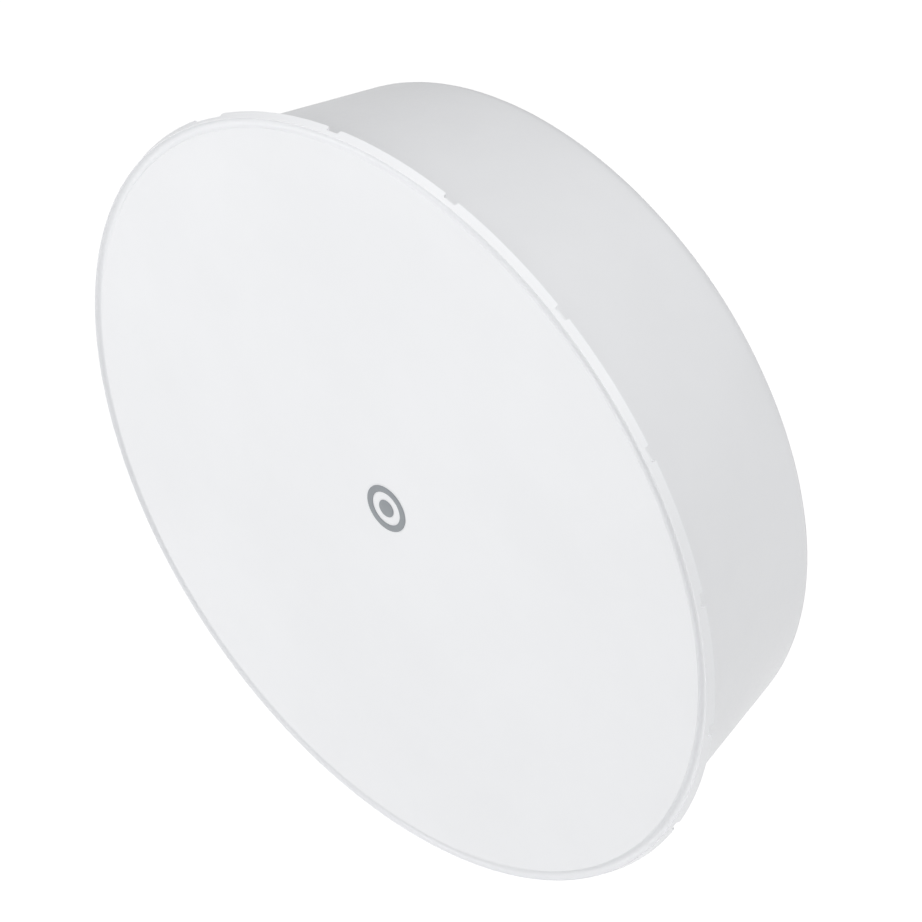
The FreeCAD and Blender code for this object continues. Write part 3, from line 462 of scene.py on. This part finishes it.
def shroud_outline():
    """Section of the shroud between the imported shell's own front and rear."""
    low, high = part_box("shroud")
    front = low.y
    rear = high.y
    flange = front + FLANGE_DEPTH
    seal_floor = front + SEAL_DEPTH
    lean = sqrt(1 + SHROUD_TAPER * SHROUD_TAPER)
    corner_y = rear - SHROUD_CORNER + SHROUD_CORNER * SHROUD_TAPER / lean
    reach = corner_y - flange
    corner_radius = SHROUD_RADIUS - SHROUD_TAPER * reach
    centre = corner_radius - SHROUD_CORNER / lean
    bow = SHROUD_CORNER * (1 - cos((pi / 2 - atan(SHROUD_TAPER)) / 2))
    inside = SHROUD_CORNER - WALL
    inner_end = (centre + inside / lean, rear - SHROUD_CORNER + inside * SHROUD_TAPER / lean)
    foot = (SHROUD_RADIUS + 0.4 * MM, flange)
    outline = [(SEAT_INNER, front), (SEAL_INNER, front), (SEAL_INNER, seal_floor)]
    outline += [(SEAL_OUTER, seal_floor), (SEAL_OUTER, front), (FLANGE_RADIUS - EDGE, front)]
    outline += [(FLANGE_RADIUS, front + EDGE), (FLANGE_RADIUS, flange - EDGE), (FLANGE_RADIUS - EDGE, flange)]
    outline += [foot] + arc(foot, (SHROUD_RADIUS - 0.05 * MM, flange + 0.45 * MM), 0.12 * MM, 3)
    for part in range(1, 13):
        along = reach * part / 12
        outline.append((SHROUD_RADIUS - SHROUD_TAPER * along, flange + along))
    outline += arc((corner_radius, corner_y), (centre, rear), -bow, 10)
    outline += [(SHROUD_MOUTH + MOUTH_EDGE, rear), (SHROUD_MOUTH, rear - MOUTH_EDGE)]
    outline += [(SHROUD_MOUTH, rear - WALL + MOUTH_EDGE), (SHROUD_MOUTH + MOUTH_EDGE, rear - WALL)]
    outline += [(centre, rear - WALL)]
    outline += arc((centre, rear - WALL), inner_end, bow * inside / SHROUD_CORNER, 8)
    outline += [(SHROUD_RADIUS - WALL * lean, flange), (SEAT_INNER, flange)]
    return outline


def make_shroud():
    mesh = lathe_mesh("shroud_shell", even_sections(shroud_outline(), ROUND_SECTIONS), AXIS_Z)
    return finish_piece("shroud_shell", mesh, "shroud", MATERIALS["shroud_plastic"])


DISH_SHEET = 1.2 * MM
DISH_MOUTH = 167.0 * MM
DISH_HUB = 48.0 * MM
DISH_BORE = 28.0 * MM
DISH_LIP = 3.0 * MM
DISH_CORNER = 1.0 * MM
DISH_STEPS = 110
BEADS = ((66.0 * MM, 5.0 * MM, 1.1 * MM), (152.0 * MM, 6.0 * MM, 1.3 * MM))


def pressed_bead(radius, peak, half, height):
    """Height of a rounded pressed bead at a radius."""
    away = abs(radius - peak) / half
    return 0.0 if away >= 1 else height * (0.5 + 0.5 * cos(pi * away))


def dish_depth(radius):
    """How far the bowl's sheet lies behind the rim at a radius."""
    low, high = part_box("dish_reflector")
    reach = high.y - low.y - DISH_SHEET
    share = (DISH_MOUTH ** 2 - radius ** 2) / (DISH_MOUTH ** 2 - DISH_HUB ** 2)
    return reach * min(1.0, share) - sum(pressed_bead(radius, *bead) for bead in BEADS)


def make_dish():
    """Pressed bowl with two stiffening beads, a rim flange and a turned edge."""
    low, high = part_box("dish_reflector")
    front = low.y
    rim = high.x
    inner = rim - DISH_SHEET
    lip = front + DISH_SHEET + DISH_LIP
    radii = [DISH_BORE + (DISH_MOUTH - DISH_BORE) * part / DISH_STEPS for part in range(DISH_STEPS + 1)]
    face = [(radius, front + dish_depth(radius)) for radius in radii]
    back = [(radius, station + DISH_SHEET) for radius, station in reversed(face)]
    edge = [(rim - 0.5 * MM, front), (rim - 0.1 * MM, front + 0.1 * MM), (rim, front + 0.5 * MM)]
    edge += [(rim, lip - EDGE), (rim - EDGE, lip), (inner + EDGE, lip), (inner, lip - EDGE)]
    edge += arc((inner, front + DISH_SHEET + DISH_CORNER), (inner - DISH_CORNER, front + DISH_SHEET),
                0.29 * MM, 4)
    mesh = lathe_mesh("dish_bowl", even_sections(face + edge + back, ROUND_SECTIONS), AXIS_Z)
    return finish_piece("dish_bowl", mesh, "dish_reflector", MATERIALS["dish_paint"])


# ---------------------------------------------------------------- stage, lights and camera

VIEW_TURN = radians(44.352)
VIEW_RISE = radians(39.944)
VIEW_RADII = 20.0
FOCAL_RADII = 0.46614
OFF_RIGHT = -0.1610
OFF_UP = -0.1022
SENSOR_MM = 36.0


def view_axes():
    """Right, up and backward directions of the camera."""
    back = Vector((sin(VIEW_TURN) * cos(VIEW_RISE), -cos(VIEW_TURN) * cos(VIEW_RISE), sin(VIEW_RISE)))
    right = Vector((cos(VIEW_TURN), sin(VIEW_TURN), 0.0))
    return right, back.cross(right), back


def add_camera():
    right, up, back = view_axes()
    data = bpy.data.cameras.new("camera")
    data.sensor_width = SENSOR_MM
    data.lens = FOCAL_RADII * VIEW_RADII * SENSOR_MM
    data.clip_end = 50.0
    camera = bpy.data.objects.new("camera", data)
    bpy.context.scene.collection.objects.link(camera)
    centre = Vector((0.0, CREST_Y, AXIS_Z))
    place = centre + CREST_RADIUS * (VIEW_RADII * back - OFF_RIGHT * right - OFF_UP * up)
    turn = Matrix((right, up, back)).transposed().to_4x4()
    camera.matrix_world = Matrix.Translation(place) @ turn
    bpy.context.scene.camera = camera


def add_light(name, direction, reach, size, power):
    """Soft disc of light at a distance from the face's centre, aimed at it."""
    data = bpy.data.lights.new(name, "AREA")
    data.shape = "DISK"
    data.size = size
    data.energy = power
    lamp = bpy.data.objects.new(name, data)
    bpy.context.scene.collection.objects.link(lamp)
    outward = Vector(direction).normalized()
    place = Vector((0.0, CREST_Y, AXIS_Z)) + outward * reach
    lamp.matrix_world = Matrix.Translation(place) @ outward.to_track_quat("Z", "Y").to_matrix().to_4x4()


FLOOR_DROP = 1.5
FLOOR_GLOW = 0.50
FLOOR_LIT = (3.4, 7.0)
WORLD_LIGHT = 0.45


def add_floor():
    """Pale floor: bright under the object, fading to the tone of the surroundings."""
    mesh = bpy.data.meshes.new("floor")
    half = 40.0
    low = CAD_BOX[0][2] - FLOOR_DROP
    mesh.from_pydata([(-half, -half, low), (half, -half, low), (half, half, low), (-half, half, low)], [],
                     [(0, 1, 2, 3)])
    floor = bpy.data.objects.new("floor", mesh)
    bpy.context.scene.collection.objects.link(floor)
    paint = Paint("floor_paint", 0.9, specular=0.1)
    patches = paint.spread(paint.noise(2.0), 0.0, 1.0)
    paint.colour(paint.blend(patches, (0.90, 0.90, 0.90), (0.94, 0.94, 0.94)))
    paint.shader.inputs["Emission Color"].default_value = (1.0, 1.0, 1.0, 1.0)
    reach = paint.distance()
    paint.link(paint.spread(reach, FLOOR_GLOW, 0.0, *FLOOR_LIT), paint.shader.inputs["Emission Strength"])
    mesh.materials.append(paint.material)


def add_stage():
    """Even pale surroundings, two soft front lights and two on the shroud's upper right."""
    scene = bpy.context.scene
    scene.view_settings.view_transform = "Standard"
    world = bpy.data.worlds.new("surroundings")
    world.use_nodes = True
    world.node_tree.nodes["Background"].inputs["Color"].default_value = (1.0, 1.0, 1.0, 1.0)
    world.node_tree.nodes["Background"].inputs["Strength"].default_value = WORLD_LIGHT
    scene.world = world
    add_floor()
    add_light("front", (-0.9, -1.0, 0.3), 3.0, 1.5, 28.0)
    add_light("upper_front", (-0.2, -0.9, 1.0), 1.3, 0.8, 2.4)
    add_light("right", (0.7, -0.2, 0.7), 3.0, 1.6, 29.0)
    add_light("top", (0.1, 0.35, 0.9), 3.0, 1.6, 19.0)


# ---------------------------------------------------------------- build

REFINED = (
    ("rear_housing", 0.5, "antenna"),
    ("port_cover", 0.4, "port_cover"),
    ("pole_bracket", 0.6, "mast_bracket"),
    ("strap_housing", 0.3, "mast_bracket"),
    ("mast_strap", 0.12, "mast_bracket"),
    ("lock_ring", 0.4, "lock_ring"),
    ("strap_screw", 0.15, "strap_screw"),
    ("rim_screws", 0.25, "antenna"),
    ("light_pipes", 0.3, "antenna"),
    ("port_plate", 0.2, "antenna"),
    ("ethernet_jack", 0.2, "antenna"),
    ("reset_button", 0.3, "reset_button"),
    ("ball_stud", 0.3, "antenna"),
    ("front_badge", 0.08, "antenna"),
)

MATERIALS = make_materials()
paint_nodes(MATERIALS)
make_cover()
make_shroud()
make_dish()
for name, width, body in REFINED:
    refined(name, width * MM, body)
add_stage()
add_camera()
